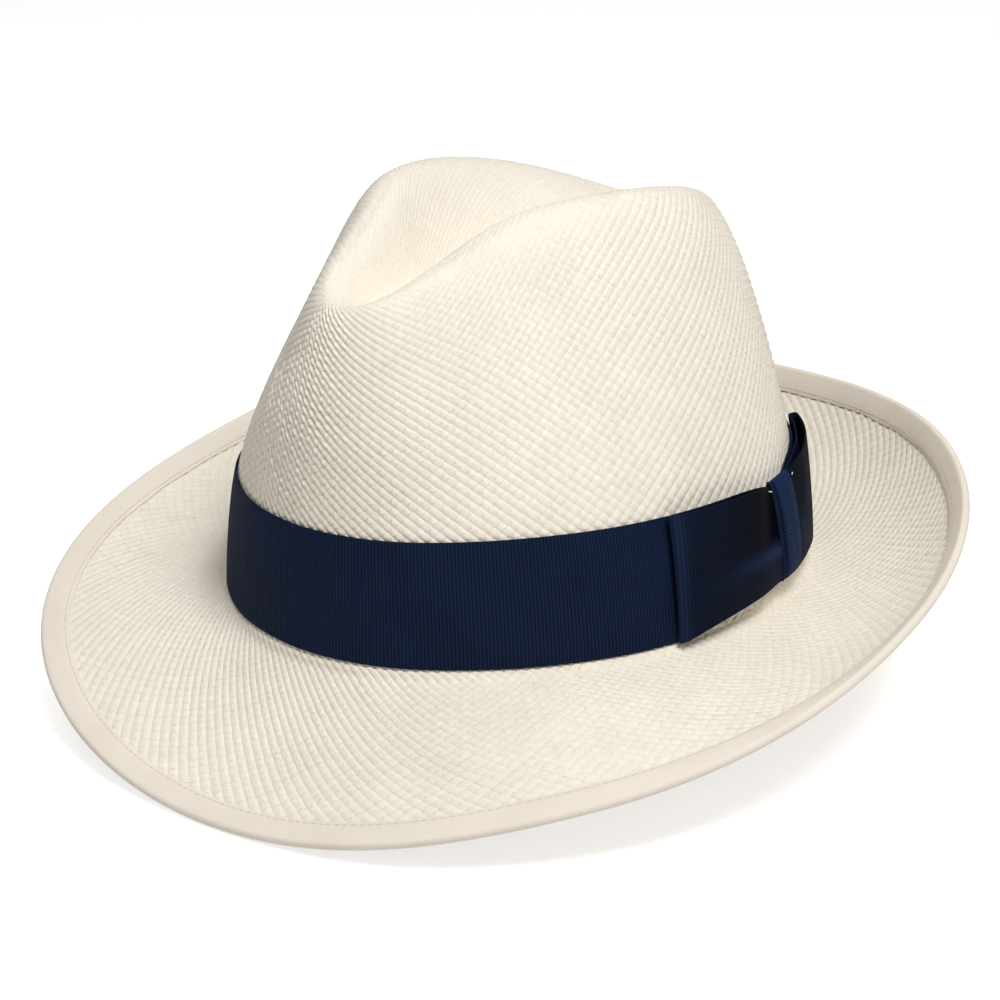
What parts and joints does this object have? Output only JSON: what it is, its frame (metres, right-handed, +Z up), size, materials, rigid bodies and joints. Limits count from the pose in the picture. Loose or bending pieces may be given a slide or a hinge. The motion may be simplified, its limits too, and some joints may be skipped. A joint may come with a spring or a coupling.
{
  "type": "straw fedora hat",
  "caption": "Woven straw fedora with a creased and pinched crown, a bound snap brim, a dark ribbon band with a flat side bow, and a leather sweatband inside.",
  "frame": {"origin": "centre of the head opening, level with the line where the crown's wall would meet the brim", "axes": "+Z up the crown, -Y to the front of the hat, +X to the wearer's left"},
  "size_m": [0.2916, 0.2995, 0.1624],
  "materials": {
    "straw": "plain-woven bleached straw, matte with a slight sheen on each strand",
    "binding_tape": "cream cotton tape, matte",
    "ribbon": "navy ribbed grosgrain, soft sheen",
    "thread": "fawn cotton thread, matte",
    "tacking_thread": "white cotton thread, matte",
    "sweatband_leather": "tan leather, satin",
    "reed": "pale translucent plastic"
  },
  "bodies": {
    "root": {"straw_body": "straw", "brim_binding": "binding_tape", "binding_thread_top": "thread", "binding_thread_under": "thread", "hat_band": "ribbon", "bow_front_loop": "ribbon", "bow_rear_loop": "ribbon", "bow_knot": "ribbon", "front_loop_tack": "tacking_thread", "rear_loop_tack": "tacking_thread", "sweatband": "sweatband_leather", "sweatband_reed": "reed", "sweatband_thread": "thread", "sweatband_seam_cover": "binding_tape"}
  },
  "joints": []
}
